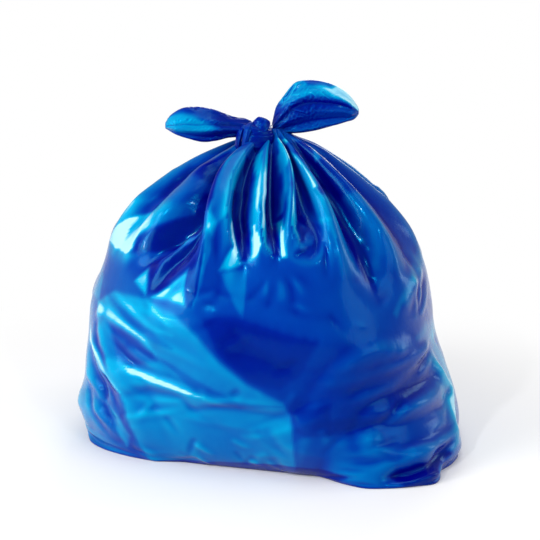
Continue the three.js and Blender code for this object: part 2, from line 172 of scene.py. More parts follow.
# Where the contents press on the film behind and at the ends: angle, level, and the ends of the creases there
PRESSES = [
    (172, 4.6, [(150, 5.6), (138, 3.6), (146, 2)]),
    (18, 3.8, [(44, 5.2), (52, 3), (40, 1.6)]),
    (96, 4.4, [(122, 5.4), (70, 5.2), (112, 2.6), (80, 2.2)]),
]

# Each ear: its length, its upper and lower edge as seen from the front, (x, z) from the neck's top, and how
# far forward its middle lies, all as shares of the length, where the crest of its side lies (-1 low, 1 high),
# and its zones of painted highlight and painted shade, as places along it and across it.
LEFT_EAR = {
    "length": LEFT_EAR_LENGTH,
    "upper": [
        (-0.12, 0.0), (-0.3, 0.1), (-0.5, 0.15), (-0.68, 0.225),
        (-0.86, 0.265), (-1.04, 0.265), (-1.18, 0.19), (-1.25, 0.09),
    ],
    "lower": [
        (-0.12, -0.14), (-0.3, -0.085), (-0.5, -0.08), (-0.66, -0.108),
        (-0.82, -0.118), (-1.0, -0.07), (-1.16, -0.02), (-1.25, 0.025),
    ],
    "forward": [0.07, 0.11, 0.15, 0.2, 0.22, 0.24, 0.24, 0.24],
    "ridge": 0.1,
    "zones": [
        (-0.2, 5, [(0, -1.1), (0.45, -1.1), (0.4, 1.1), (0, 1.1)]),
        (0.4, 4, [
            (0.62, 0.6), (0.5, 0.3), (0.38, 0.05), (0.45, -0.1), (0.6, -0.35), (0.75, -0.6), (1, -0.8),
            (1, 1), (0.85, 0.9),
        ]),
        (-0.2, 3, [(0, -1.1), (0.7, -1.1), (0.6, -0.6), (0.4, -0.3), (0, -0.1)]),
        (-0.12, 3, [(0.4, 1.1), (0.75, 1.1), (0.68, 0.7), (0.45, 0.6)]),
    ],
}
RIGHT_EAR = {
    "length": RIGHT_EAR_LENGTH,
    "upper": [
        (0.0, 0.04), (0.07, 0.24), (0.16, 0.375), (0.29, 0.53), (0.45, 0.57),
        (0.64, 0.56), (0.82, 0.505), (0.95, 0.41), (1.025, 0.29), (1.05, 0.22),
    ],
    "lower": [
        (0.06, -0.1), (0.2, -0.055), (0.36, -0.03), (0.52, 0.003), (0.66, 0.038),
        (0.79, 0.07), (0.9, 0.098), (0.98, 0.118), (1.03, 0.145), (1.05, 0.165),
    ],
    "forward": [0.02, 0.02, 0.035, 0.045, 0.055, 0.065, 0.065, 0.065, 0.055, 0.055],
    "ridge": 0.45,
    "zones": [
        (0.24, 3, [(0.55, 1.1), (0.5, 0.8), (0.62, 0.5), (0.95, 0.3), (0.95, 1.1)]),
        (0.34, 3, [(0.16, 1.1), (0.16, 0.75), (0.33, 0.5), (0.56, 0.42), (0.78, 0.4), (1, 0.2), (1, 1.1)]),
        (-0.4, 2, [(0.4, 1.1), (0.44, 0.85), (0.6, 0.82), (0.66, 1.1)]),
        (-0.22, 4, [
            (0, 1.1), (0, -0.4), (0.2, -0.2), (0.5, -0.1), (0.8, 0.1), (0.78, 0.38), (0.56, 0.4),
            (0.33, 0.48), (0.14, 0.7), (0.1, 1.1),
        ]),
    ],
}

# The half knot: its middle, its size, and the bands of film that turn round it. A band has its half width and
# half thickness in millimetres, how much paler it is than its folds make it, and its points from that middle
# in shares of the size.
KNOT_MIDDLE = np.array(
    [NECK_OFFSET - 0.5 * KNOT_WIDTH, -KNOT_FORWARD, NECK_HEIGHT - KNOT_DROP]
)
KNOT_SIZE = np.array([KNOT_WIDTH, KNOT_DEPTH, KNOT_HEIGHT])
BANDS = [
    ("knot_core", 13.5, 12.0, -0.4, [
        (-0.42, 0.1, 0.05), (-0.15, 0.0, 0.02), (0.1, 0.0, 0.0), (0.34, 0.1, 0.05),
    ]),
    ("knot_nose", 8.6, 6.2, -0.2, [
        (-0.12, -0.1, 0.1), (0.05, -0.2, 0.34), (0.18, -0.2, 0.54), (0.27, -0.12, 0.74),
    ]),
    ("knot_front", 11.5, 4.5, -0.4, [
        (0.46, 0.2, 0.04), (0.42, -0.2, -0.02), (0.12, -0.42, -0.02), (-0.2, -0.4, 0.0), (-0.4, -0.1, 0.04),
    ]),
    ("knot_side", 4.0, 3.4, -0.14, [
        (-0.12, -0.1, 0.58), (-0.26, -0.42, 0.4), (-0.34, -0.46, 0.05), (-0.4, -0.3, -0.28),
        (-0.4, 0.0, -0.4),
    ]),
    ("knot_edge", 4.4, 3.4, -0.3, [
        (-0.36, 0.0, 0.52), (-0.48, -0.3, 0.36), (-0.56, -0.34, 0.05), (-0.58, -0.2, -0.26),
        (-0.5, 0.1, -0.38),
    ]),
    ("knot_over", 5.0, 3.4, -0.3, [
        (-0.66, 0.0, 0.3), (-0.36, -0.28, 0.44), (-0.02, -0.4, 0.4), (0.3, -0.32, 0.26), (0.46, 0.0, 0.06),
    ]),
]

# The film's grid, from coarse to fine, and how many rounds it settles for at each
COARSE_ROWS = 56
COARSE_COLUMNS = 104
ROUNDS = (200, 200, 160)
BASE_ROWS = 4
EAR_ROWS = 40
EAR_COLUMNS = 56
EAR_ROUNDS = (300, 200, 120)
BAND_ROWS = 90
BAND_COLUMNS = 72
SEED = 7

# The photograph's camera, in millimetres and degrees: straight in front of the bag and a little above it
PICTURE_SIZE = 540
CAMERA_DISTANCE = 1800.0
CAMERA_ELEVATION = 15.0
CAMERA_AIM = np.array([2.0, 0.0, 190.0])
LENS = 107.14
SENSOR = 36.0

# Painted light on the film: zones where it is painted paler or deeper blue than its painted fold light makes
# it:
# by how much, how soft the edge is in millimetres, and the outline. Pale zones are painted highlights, some of
# them the photograph's glints, and deep zones are painted shade. In front, the corners of an outline are places
# picked on the photograph, in pixels from its top left.
FRONT_PAINTED_LIGHT = {
    "shoulder facet": (0.5, 3.4, [
        (112, 238), (124, 222), (136, 211), (155, 200), (158, 206), (148, 222), (140, 234), (134, 247),
        (126, 251), (118, 247),
    ]),
    "shoulder rim": (0.22, 6, [
        (106, 250), (118, 222), (134, 204), (155, 192), (172, 184), (164, 203), (152, 232), (138, 250),
        (128, 262), (114, 256),
    ]),
    "valley dark": (-0.56, 4, [
        (236, 158), (228, 164), (206, 200), (180, 214), (140, 236), (132, 252), (150, 248), (176, 238),
        (210, 228), (220, 205), (228, 178),
    ]),
    "panel left": (-0.2, 6, [
        (212, 158), (190, 166), (164, 186), (160, 200), (176, 206), (206, 192), (222, 170),
    ]),
    "dark two": (-0.36, 4, [
        (148, 262), (170, 248), (200, 236), (211, 238), (206, 262), (188, 272), (160, 292), (152, 292),
        (150, 276),
    ]),
    "mid between": (0.1, 4, [(146, 250), (180, 236), (206, 232), (196, 240), (168, 248), (150, 258)]),
    "tri one": (0.45, 2.4, [(147, 265), (136, 279), (149, 294), (150, 280)]),
    "tri two": (0.5, 2.4, [(155, 296), (172, 284), (191, 269), (187, 284), (188, 305), (172, 300)]),
    "glint line": (0.45, 2.2, [(209, 256), (206, 272), (203, 284), (195, 307), (199, 292), (204, 270)]),
    "dark beside": (-0.2, 3, [(192, 270), (207, 262), (202, 284), (195, 306), (189, 304), (188, 284)]),
    "broad one": (0.17, 2.6, [
        (249, 154), (236, 164), (228, 176), (222, 196), (217, 214), (213, 232), (218, 240), (224, 226),
        (233, 216), (236, 196), (242, 190), (250, 184), (252, 172),
    ]),
    "broad two": (0.2, 2.6, [
        (217, 214), (212, 236), (208, 256), (206, 272), (211, 262), (216, 250), (219, 238), (222, 226),
    ]),
    "pocket tri": (0.45, 2.2, [
        (221, 270), (227, 260), (232, 250), (236, 248), (240, 258), (246, 263), (238, 267), (230, 270),
    ]),
    "pocket drop": (0.45, 2.2, [(237, 220), (239, 222), (240, 252), (237, 254), (234, 240), (235, 228)]),
    "drop two": (0.5, 2.4, [
        (257, 228), (260, 236), (262, 246), (259, 256), (253, 262), (247, 263), (251, 254), (252, 240),
    ]),
    "fold line": (0.22, 2.4, [
        (258, 152), (264, 152), (262, 180), (261, 205), (259, 230), (257, 230), (258, 200), (259, 178),
    ]),
    "fold dark": (-0.34, 2.6, [
        (250, 158), (257, 156), (258, 180), (256, 200), (253, 225), (248, 258), (244, 256), (242, 236),
        (244, 214), (250, 196), (252, 178),
    ]),
    "fold dark2": (-0.4, 2.6, [
        (268, 152), (273, 150), (273, 180), (275, 214), (280, 240), (281, 258), (276, 254), (270, 232),
        (264, 216), (264, 196), (270, 186),
    ]),
    "fold light2": (0.32, 2.2, [
        (276, 140), (280, 142), (280, 170), (279, 212), (276, 212), (278, 180), (274, 160),
    ]),
    "strip": (0.75, 2.2, [(274, 216), (278, 218), (282, 238), (286, 257), (281, 258), (278, 240)]),
    "below pocket": (0.24, 3, [
        (222, 272), (244, 268), (247, 270), (246, 296), (243, 316), (236, 306), (228, 290),
    ]),
    "r line one": (0.34, 1.8, [
        (281, 140), (284, 141), (298, 158), (308, 174), (316, 192), (312, 192), (304, 176), (294, 160),
    ]),
    "r line two": (0.14, 2.6, [
        (290, 178), (294, 182), (299, 196), (305, 206), (318, 218), (330, 222), (318, 224), (304, 214),
        (296, 206),
    ]),
    "r dark one": (-0.4, 2.6, [
        (296, 152), (306, 160), (326, 184), (344, 208), (362, 236), (374, 258), (378, 280), (368, 280),
        (358, 250), (346, 228), (324, 198), (306, 174),
    ]),
    "r dark two": (-0.36, 2.6, [
        (326, 160), (342, 172), (362, 190), (380, 202), (394, 220), (408, 244), (402, 250), (388, 238),
        (376, 218), (352, 190), (336, 174),
    ]),
    "r glint": (0.4, 2.2, [(308, 152), (312, 154), (317, 162), (313, 162)]),
    "r light three": (-0.1, 5, [
        (318, 164), (340, 186), (366, 206), (384, 234), (400, 270), (392, 280), (378, 256), (362, 228),
        (344, 206), (330, 188),
    ]),
    "r rim": (-0.06, 4, [
        (340, 164), (366, 180), (388, 196), (404, 212), (412, 230), (404, 226), (388, 208), (364, 192),
    ]),
    "r band": (0.04, 6, [
        (388, 240), (404, 250), (412, 246), (418, 262), (424, 300), (428, 318), (424, 330), (412, 322),
        (404, 300), (398, 276),
    ]),
    "r band line": (0.16, 2.6, [
        (414, 262), (418, 266), (410, 284), (400, 304), (396, 318), (392, 312), (398, 296), (408, 274),
    ]),
    "r edge cyan": (0.2, 6, [(418, 240), (424, 262), (420, 272), (416, 256)]),
    "r low cyan": (0.28, 5, [(414, 336), (424, 322), (434, 314), (436, 330), (430, 340)]),
    "right pale": (0.2, 7, [(446, 398), (452, 404), (455, 430), (454, 448), (450, 448), (449, 424)]),
    "panel": (0.3, 3, [
        (98, 300), (116, 290), (150, 298), (178, 312), (198, 330), (222, 358), (250, 382), (284, 400),
        (292, 414), (294, 430), (297, 470), (150, 458), (140, 440), (128, 400), (110, 350),
    ]),
    "panel dark": (-0.26, 4, [
        (114, 322), (124, 326), (140, 336), (154, 350), (158, 358), (134, 364), (120, 352),
    ]),
    "panel low": (0.02, 4, [(128, 370), (200, 394), (290, 402), (296, 430), (140, 400)]),
    "panel dark line": (-0.14, 2, [(164, 358), (196, 376), (240, 400), (284, 404), (240, 406), (196, 388)]),
    "white crease": (0.32, 2.2, [
        (129, 363), (134, 364), (146, 370), (162, 378), (184, 387), (206, 394), (184, 389), (160, 381),
        (146, 375), (134, 369),
    ]),
    "streak a": (0.16, 3, [
        (96, 296), (112, 304), (132, 322), (150, 336), (158, 352), (140, 338), (118, 318), (104, 312),
    ]),
    "streak b": (0.14, 3, [(118, 292), (136, 304), (158, 324), (176, 332), (158, 330), (134, 312)]),
    "streak c": (0.14, 2.6, [(146, 292), (158, 304), (176, 324), (170, 322), (156, 308)]),
    "streak dark": (-0.2, 3, [
        (110, 294), (130, 308), (150, 326), (176, 346), (160, 342), (138, 326), (120, 308),
    ]),
    "edge white": (0.38, 3, [
        (91, 322), (96, 334), (106, 350), (116, 372), (124, 388), (114, 380), (102, 360), (92, 340),
    ]),
    "edge light": (0.32, 3, [(106, 398), (120, 412), (132, 432), (128, 444), (118, 428)]),
    "edge dark": (-0.02, 3, [
        (96, 362), (108, 392), (114, 420), (124, 444), (104, 436), (92, 420), (90, 390),
    ]),
    "left mid": (0.05, 4, [
        (96, 262), (110, 252), (126, 262), (140, 290), (150, 300), (128, 292), (100, 284),
    ]),
    "left pale": (0.2, 2.5, [(93, 290), (99, 262), (104, 254), (104, 276), (100, 298)]),
    "belly": (-0.1, 8, [
        (200, 310), (240, 318), (300, 330), (380, 346), (424, 350), (424, 390), (360, 424), (300, 420),
        (250, 380), (220, 352),
    ]),
    "belly dark": (-0.16, 5, [
        (206, 318), (236, 316), (280, 332), (318, 340), (300, 372), (280, 386), (248, 378), (222, 352),
    ]),
    "triangle": (-0.14, 2.5, [(290, 408), (330, 402), (331, 432), (306, 432), (296, 426)]),
    "dark band": (-0.14, 5, [
        (331, 420), (360, 406), (380, 396), (420, 378), (428, 372), (404, 400), (384, 418), (360, 430),
        (332, 430),
    ]),
    "low right": (0.06, 4, [
        (296, 432), (340, 434), (366, 430), (384, 450), (396, 470), (380, 484), (340, 474), (300, 466),
    ]),
    "corner dark": (-0.6, 3, [
        (392, 474), (404, 470), (424, 462), (446, 450), (450, 452), (438, 466), (428, 486), (412, 486),
        (400, 482),
    ]),
    "front edge": (-0.35, 2, [
        (150, 458), (220, 460), (300, 463), (330, 468), (346, 476), (330, 480), (300, 476), (220, 470),
        (150, 463),
    ]),
    "r top": (-0.3, 4, [(286, 140), (318, 150), (346, 176), (356, 196), (334, 194), (312, 170), (294, 156)]),
    "neck dark": (-0.32, 5, [
        (250, 150), (236, 156), (226, 168), (206, 178), (196, 176), (210, 164), (230, 152),
    ]),
    "r fold": (-0.46, 4, [
        (284, 146), (296, 160), (308, 178), (318, 198), (334, 206), (326, 190), (308, 164), (292, 144),
    ]),
    "r fold two": (-0.4, 4, [(284, 160), (290, 178), (298, 204), (306, 222), (290, 214), (283, 190)]),
}
# The same painted highlights at the sides, as angles and levels
SIDE_PAINTED_LIGHT = {
    "left side": (0.28, 30, [(-214, 0.3), (-205, 5), (-172, 5.2), (-163, 4), (-158, 2.5), (-155, 0.3)]),
    "right side": (0.3, 13, [
        (-25, 3.9), (-12, 4.25), (-2, 3.4), (3, 2.9), (-6, 2.1), (-14, 1.5), (-23, 2.4), (-22, 3.2),
    ]),
    "right side low": (0.12, 28, [(-30, 2), (-8, 4.6), (22, 4), (30, 1.5), (4, 0.6)]),
}
BODY_SCALE = (3.2, 31.0)  # millimetres for a degree round the bag and for a level, for the zones' edges
EAR_SCALE = (80.0, 22.0)  # and along an ear and across half of it
# The ways from which painted light falls: folds that face them are painted palest
PAINTED_LIGHT_WAYS = [(-0.8, -0.3, 0.5), (0.8, 0.3, 0.5)]
# The film's colours, from its deepest painted shade through its own blue to its palest painted highlight
SHADE_TO_HIGHLIGHT_RAMP = [
    (0.02, (0.0, 0.0, 0.17)),
    (0.2, (0.0, 0.006, 0.22)),
    (0.4, (0.0, 0.032, 0.29)),
    (0.6, (0.0, 0.1, 0.37)),
    (0.75, (0.0, 0.2, 0.45)),
    (0.88, (0.0, 0.33, 0.57)),
    (0.99, (0.36, 0.68, 0.82)),
]


def along(values, place):
    """A smooth curve through evenly spaced values, read at fractional places."""
    values = np.asarray(values, float)
    last = len(values) - 1
    i = np.clip(np.floor(place), 0, last - 1).astype(int)
    t = place - i
    a, b, c, d = (values[np.clip(i + k, 0, last)] for k in (-1, 0, 1, 2))
    return b + 0.5 * t * (c - a + t * (2 * a - 5 * b + 4 * c - d + t * (3 * (b - c) + d - a)))


def smoothstep(x, low, high):
    t = np.clip((x - low) / (high - low), 0, 1)
    return t * t * (3 - 2 * t)


def lengths(vectors):
    return np.sqrt(np.einsum("...k,...k->...", vectors, vectors))


def angle_off(angle, middle):
    """How many degrees round the bag lie between two angles."""
    return np.abs((angle - middle + 540) % 360 - 180)


def smooth_film(angle, level):
    """The film without its folds, at an angle round the bag (0 is right, -90 is front) and a level."""
    angle, level = np.broadcast_arrays(np.asarray(angle, float), np.asarray(level, float))
    turned = np.radians(angle - PLAN_TURN)
    c, s = np.cos(turned), np.sin(turned)
    n = along(SQUARES, level)
    reach_x = np.where(c < 0, along(LEFTS, level), along(RIGHTS, level))
    reach_y = np.where(s < 0, along(FRONTS, level), along(BACKS, level))
    r = (np.abs(c / reach_x) ** n + np.abs(s / reach_y) ** n) ** (-1 / n)
    for middle, spread, reach, top in CORNERS:
        away = angle_off(angle, middle)
        r = r + reach * (1 - smoothstep(away, 0.4 * spread, spread)) * (1 - smoothstep(level, 0, top))
    z = along(HEIGHTS, level)
    direction = np.radians(angle)
    x = NECK_OFFSET * z / NECK_HEIGHT + r * np.cos(direction)
    return np.stack([x, r * np.sin(direction), z], -1)


def smooth_normal(angle, level):
    around = smooth_film(angle + 0.5, level) - smooth_film(angle - 0.5, level)
    above = smooth_film(angle, np.minimum(level + 0.02, TOP))
    up = above - smooth_film(angle, np.maximum(level - 0.02, 0))
    normal = np.cross(around, up)
    return normal / lengths(normal)[..., None]


def back_gathers():
    """The gathers behind, alternately a valley and a ridge, at uneven angles and of uneven length."""
    folds = []
    for i in range(BACK_GATHERS):
        angle = -215 - 140 * i / (BACK_GATHERS - 1) + 1.5 * math.sin(2.4 * i)
        drift = 4 * math.sin(0.7 * i)
        height = 0.1 + 0.25 * math.sin(1.3 * i) if i % 2 else -1.1 - 0.35 * math.sin(2.9 * i)
        end = 6.4 + 0.9 * math.sin(1.7 * i + 1)
        folds.append((height, end, [angle + drift * k / 6 for k in range(7)]))
    return folds


def pleated_grid(rows, columns):
    """A grid whose columns run along the gathers: its angles, its levels, and how far the gathers lift it."""
    lines = sorted(GATHERS + back_gathers(), key=lambda line: line[2][-1] % 360)
    heights = np.array([line[0] for line in lines])
    ends = np.array([line[1] for line in lines])
    angles = np.array([line[2][::-1] for line in lines]).T % 360
    unit = 360 / COARSE_COLUMNS
    own = np.round(angles[0] / unit)
    column = np.arange(columns) * COARSE_COLUMNS / columns
    levels = TOP * np.arange(rows + 1) / rows
    angle = np.zeros((rows + 1, columns))
    lift = np.zeros((rows + 1, columns))
    for row, level in enumerate(levels):
        drift = along(angles, np.clip(level - 6, 0, 6)) - own * unit
        bent = smoothstep(level, 3.5, 6)
        angle[row] = column * unit + bent * np.interp(column, own, drift, period=COARSE_COLUMNS)
        share = heights * np.clip((level - ends) / np.where(heights < 0, VALLEY_FADE, RIDGE_FADE), 0, 1)
        high = share * PLEAT_DEPTH * along(PLEATED, level)
        lift[row] = np.interp(column, own, high, period=COARSE_COLUMNS)
    return angle, levels[:, None] + 0 * angle, lift


def fans():
    folds = []
    for start, first, last, count, height, reach in FANS:
        for i in range(count):
            share = i / (count - 1)
            end = [a + (b - a) * share for a, b in zip(first, last)]
            bend = 0.12 * math.sin(2.3 * i + height)
            middle = [(a + b) / 2 for a, b in zip(start, end)]
            middle[1] += bend
            path = [start, tuple(middle), tuple(end)]
            folds.append((-0.8 * height if i % 2 else height, reach, 0.7 * reach, path))
    return folds


def wrinkles():
    """Short fine creases: they run down from the knot on the shoulders, and slant either way on the belly."""
    random = np.random.default_rng(SEED)
    folds = []
    for _ in range(WRINKLES):
        angle, level = random.uniform(-215, 145), random.uniform(0.8, 9.5)
        lean = random.normal(0, 0.25) if level > 6.5 else random.choice([-1, 1]) * random.uniform(0.5, 1.4)
        length = random.uniform(14, 50)
        across = length * math.sin(lean) / BODY_SCALE[0]
        up = length * math.cos(lean) / BODY_SCALE[1]
        bend = random.uniform(-0.08, 0.08)
        path = [(angle + across * k, max(level - up * k + bend * (k == 0.5), 0.3)) for k in (0, 0.5, 1)]
        height = random.uniform(0.5, 1.7) * random.choice([-1, 1])
        reach = random.uniform(4, 9)
        folds.append((height, reach, 0.6 * reach, path))
    return folds


def back_creases():
    folds = []
    for angle, level, fan in PRESSES:
        for i, (a, b) in enumerate(fan):
            middle = ((angle + a) / 2 + 2, (level + b) / 2 + 0.2)
            folds.append((-6 if i % 2 else 8, 16, 26, [(angle, level), middle, (a, b)]))
    return folds


def fold_lift(points, normals, folds, fade_in=0.2, fade_out=0.55, steps=5):
    """How far creases lift the smooth film at its points: tents with a slope of their own on each side."""
    flat = points.reshape(-1, 3)
    outwards = normals.reshape(-1, 3)
    lift = np.zeros(len(flat))
    for height, left, right, path in folds:
        path = np.array(path, float)
        place = np.linspace(0, len(path) - 1, (len(path) - 1) * steps + 1)
        line = smooth_film(along(path[:, 0], place), along(path[:, 1], place))
        widest = max(left, right)
        low, high = line.min(0) - widest, line.max(0) + widest
        near = np.where(((flat > low) & (flat < high)).all(1))[0]
        best = np.full(len(near), np.inf)
        where = np.zeros(len(near))
        side = np.zeros(len(near))
        for k in range(len(line) - 1):
            step = line[k + 1] - line[k]
            off = flat[near] - line[k]
            t = np.clip(off @ step / (step @ step), 0, 1)
            away = lengths(off - t[:, None] * step)
            closer = away < best
            best[closer] = away[closer]
            where[closer] = (k + t[closer]) / (len(line) - 1)
            side[closer] = np.einsum("nk,nk->n", np.cross(step, off), outwards[near])[closer]
        reach = right + (left - right) * smoothstep(side / (best + 1e-9) / lengths(step), -0.4, 0.4)
        fade = np.minimum(where / fade_in, 1) * np.clip((1 - where) / (1 - fade_out), 0, 1)
        lift[near] += height * fade * np.clip(1 - best / reach, 0, 1)
    return lift.reshape(points.shape[:-1])


def crumple(angle, level):
    """The crumpled film at the left edge and round the two bottom corners."""
    a, b = np.radians(angle) * 9, level * 2.2
    facets = 0
    for k, (turn, grow) in enumerate([(0.5, 1.0), (1.7, 1.6), (2.6, 2.3)]):
        across = (a * math.cos(turn) + b * math.sin(turn)) * grow + 1.3 * np.sin(0.8 * b - 0.6 * a + k)
        facets = facets + (np.abs((across / math.pi) % 2 - 1) - 0.5) / grow
    left = smoothstep(level, 0.1, 0.7) * (1 - smoothstep(level, 3.4, 4.6))
    right = smoothstep(level, 0.1, 0.5) * (1 - smoothstep(level, 1.2, 2.2))
    left = left * smoothstep(-angle_off(angle, -165), -22, -8)
    right = right * smoothstep(-angle_off(angle, -38), -26, -12)
    return 5 * facets * left + 6 * facets * right


class Film:
    """A closed tube of thin film on a grid: rows run along it from end to end, and columns close round it."""

    def __init__(self, shape, normal, gather, slack, room, floor):
        self.shape = shape
        self.normal = normal
        self.across = lengths(np.roll(shape, -1, 1) - shape) * gather
        self.down = lengths(shape[1:] - shape[:-1]) * slack
        self.slants = {side: lengths(np.roll(shape[1:], -side, 1) - shape[:-1]) * slack for side in (1, -1)}
        self.room = room
        self.floor = floor
        self.free = np.ones(shape.shape[:2])
        self.free[0] = 0
        self.free[-1] = 0


def pull(a, b, rest, free_a, free_b, stiffness, only_push=False):
    """Moves the ends of links, in place, towards their rest length."""
    link = b - a
    length = lengths(link) + 1e-9
    share = (length - rest) / length
    if only_push:
        share = np.minimum(share, 0)
    share = share * stiffness / (free_a + free_b + 1e-9)
    a += link * (share * free_a)[..., None]
    b -= link * (share * free_b)[..., None]


def pull_down(points, rest, free, step, start, stride, stiffness, only_push=False):
    """Links between rows that lie step apart."""
    a = points[start : len(points) - step : stride]
    b = points[start + step :: stride][: len(a)]
    free_b = free[start + step :: stride][: len(a)]
    pull(a, b, rest[start::stride][: len(a)], free[start::stride][: len(a)], free_b, stiffness, only_push)


def pull_across(points, rest, free, step, start, stride, stiffness, only_push=False):
    """Links between columns that lie step apart, round the tube."""
    turned = np.roll(points, -start, 1)
    rest = np.roll(rest, -start, 1)[:, ::stride]
    free = np.roll(free, -start, 1)
    free_a, free_b = free[:, ::stride], free[:, step::stride]
    pull(turned[:, ::stride], turned[:, step::stride], rest, free_a, free_b, stiffness, only_push)
    points[:] = np.roll(turned, start, 1)


def pull_slant(points, rest, free, side, start, stiffness):
    """Links from each row to the next, one column to the side."""
    turned = np.roll(points, -side, 1)
    free_turned = np.roll(free, -side, 1)
    count = (len(points) - start) // 2
    a = points[start : start + 2 * count : 2]
    b = turned[start + 1 : start + 1 + 2 * count : 2]
    free_b = free_turned[start + 1 : start + 1 + 2 * count : 2]
    pull(a, b, rest[start : start + 2 * count : 2], free[start : start + 2 * count : 2], free_b, stiffness)
    points[start + 1 : start + 1 + 2 * count : 2] = np.roll(b, side, 1)


def settle(film, points, rounds, bend, push=0.0003, weight=0.0002):
    """Lets the film relax over what is inside it: it keeps its lengths, bulges a little and sags."""
    down2 = film.down[1:] + film.down[:-1]
    across2 = film.across + np.roll(film.across, -1, 1)
    step = float(film.down.mean())
    speed = np.zeros_like(points)
    free = film.free
    for _ in range(rounds):
        start = points.copy()
        points += 0.9 * speed
        points += film.normal * (push * step * free)[..., None]
        points[..., 2] -= weight * step * free
        for k in (0, 1):
            pull_down(points, film.down, free, 1, k, 2, 1.0)
            pull_across(points, film.across, free, 1, k, 2, 1.0)
        for side in (1, -1):
            for k in (0, 1):
                pull_slant(points, film.slants[side], free, side, k, 0.5)
        for k in range(4):
            pull_down(points, down2, free, 2, k, 4, bend, only_push=True)
            pull_across(points, across2, free, 2, k, 4, bend, only_push=True)
        off = np.einsum("...k,...k->...", points - film.shape, film.normal)
        points += film.normal * ((np.clip(off, -film.room, film.room) - off) * (free > 0))[..., None]
        if film.floor:
            points[..., 2] = np.maximum(points[..., 2], 0)
        speed = points - start
        speed *= np.minimum(1, 0.25 * step / (lengths(speed) + 1e-9))[..., None]
    return points


def finer(points):
    """Twice as many rows and columns, on a smooth curve through the points."""
    a, c, d = np.roll(points, 1, 1), np.roll(points, -1, 1), np.roll(points, -2, 1)
    wide = np.empty((points.shape[0], points.shape[1] * 2, 3))
    wide[:, 0::2] = points
    wide[:, 1::2] = (9 * (points + c) - a - d) / 16
    padded = np.concatenate([2 * wide[:1] - wide[1:2], wide, 2 * wide[-1:] - wide[-2:-1]])
    tall = np.empty((wide.shape[0] * 2 - 1, wide.shape[1], 3))
    tall[0::2] = wide
    tall[1::2] = (9 * (padded[1:-2] + padded[2:-1]) - padded[:-3] - padded[3:]) / 16
    return tall


def body_film(rows, columns):
    """The bag's film at one fineness: its folded shape, and the room that it has to settle in."""
    angle, level, lift = pleated_grid(rows, columns)
    smooth = smooth_film(angle, level)
    normal = smooth_normal(angle, np.minimum(level, TOP - 0.02))
    lift += fold_lift(smooth, normal, CREASES + fans() + wrinkles() + back_creases()) + crumple(angle, level)
    stem = lengths(smooth[..., :2] - np.array([NECK_OFFSET, 0]))
    lift = np.maximum(lift, -0.4 * stem)
    shape = smooth + normal * lift[..., None]
    shape[0, :, 2] = 0
    shape[..., 2] = np.maximum(shape[..., 2], 0)
    shoulder = smoothstep(level, 6.0, 8.5) * (1 - smoothstep(level, 11.5, 13))
    gather, slack = 1.0 + 0.05 * shoulder, 1.001 + 0.006 * shoulder[1:]
    film = Film(shape, normal, gather, slack, 1.4 + 1.2 * shoulder, floor=True)
    film.free[1] = 0.3
    return film, angle, level


def body_points():
    """The film after it has settled, from a coarse grid to a fine one."""
    random = np.random.default_rng(SEED)
    rows, columns = COARSE_ROWS, COARSE_COLUMNS
    film, angle, level = body_film(rows, columns)
    points = film.shape.copy()
    rounds = ROUNDS
    for stage, count in enumerate(rounds):
        if stage:
            rows, columns = rows * 2, columns * 2
            moved = finer(points - film.shape)
            film, angle, level = body_film(rows, columns)
            points = film.shape + moved
        jitter = random.normal(0, 0.1, points.shape[:2]) * smoothstep(level, 4, 8)
        points += film.normal * jitter[..., None]
        points = settle(film, points, count, bend=0.03)
    points[1:-1] = blurred(points, 1)[1:-1]
    return points, angle, level


def tube_mesh(name, points, bottom, top):
    """A mesh of a closed tube's grid in millimetres, with a middle point to close each end."""
    rows, columns, _ = points.shape
    vertices = np.concatenate([points.reshape(-1, 3), [bottom, top]]) * MM
    i, j = np.meshgrid(np.arange(rows - 1), np.arange(columns), indexing="ij")
    after = (j + 1) % columns
    low, high = i * columns, (i + 1) * columns
    quads = np.stack([low + j, low + after, high + after, high + j], -1)
    ring = np.arange(columns)
    after = (ring + 1) % columns
    first = rows * columns
    last = (rows - 1) * columns
    caps = np.concatenate(
        [
            np.stack([after, ring, np.full(columns, first)], -1),
            np.stack([last + ring, last + after, np.full(columns, first + 1)], -1),
        ]
    )
    mesh = bpy.data.meshes.new(name)
    mesh.from_pydata(vertices.tolist(), [], quads.reshape(-1, 4).tolist() + caps.tolist())
    mesh.shade_smooth()
    made = bpy.data.objects.new(name, mesh)
    bpy.context.scene.collection.objects.link(made)
    return made


def point_attribute(made, name, kind, values):
    """Gives each vertex a value that the material reads by name."""
    attribute = made.data.attributes.new(name, kind, "POINT")
    field = "vector" if kind == "FLOAT_VECTOR" else "value"
    attribute.data.foreach_set(field, values.astype(np.float32).ravel())


def film_attributes(made, turn, place, radius, length, painted_shading):
    """The painted light and shade of a tube's film, and a place on it for the streaks along it."""
    turn, place = np.broadcast_arrays(turn, place)
    grain = np.stack([radius * np.cos(turn), radius * np.sin(turn), length * place], -1).reshape(-1, 3)
    ends = [[0, 0, 0], [0, 0, length * place.max()]]
    point_attribute(made, "grain", "FLOAT_VECTOR", np.concatenate([grain, ends]))
    point_attribute(made, "painted_shading", "FLOAT", np.append(np.clip(painted_shading, 0, 1).ravel(), [0, 0]))


def blurred(values, times):
    for _ in range(times):
        values = (np.roll(values, 1, 1) + 2 * values + np.roll(values, -1, 1)) / 4
        padded = np.concatenate([values[:1], values, values[-1:]])
        values = (padded[:-2] + 2 * values + padded[2:]) / 4
    return values


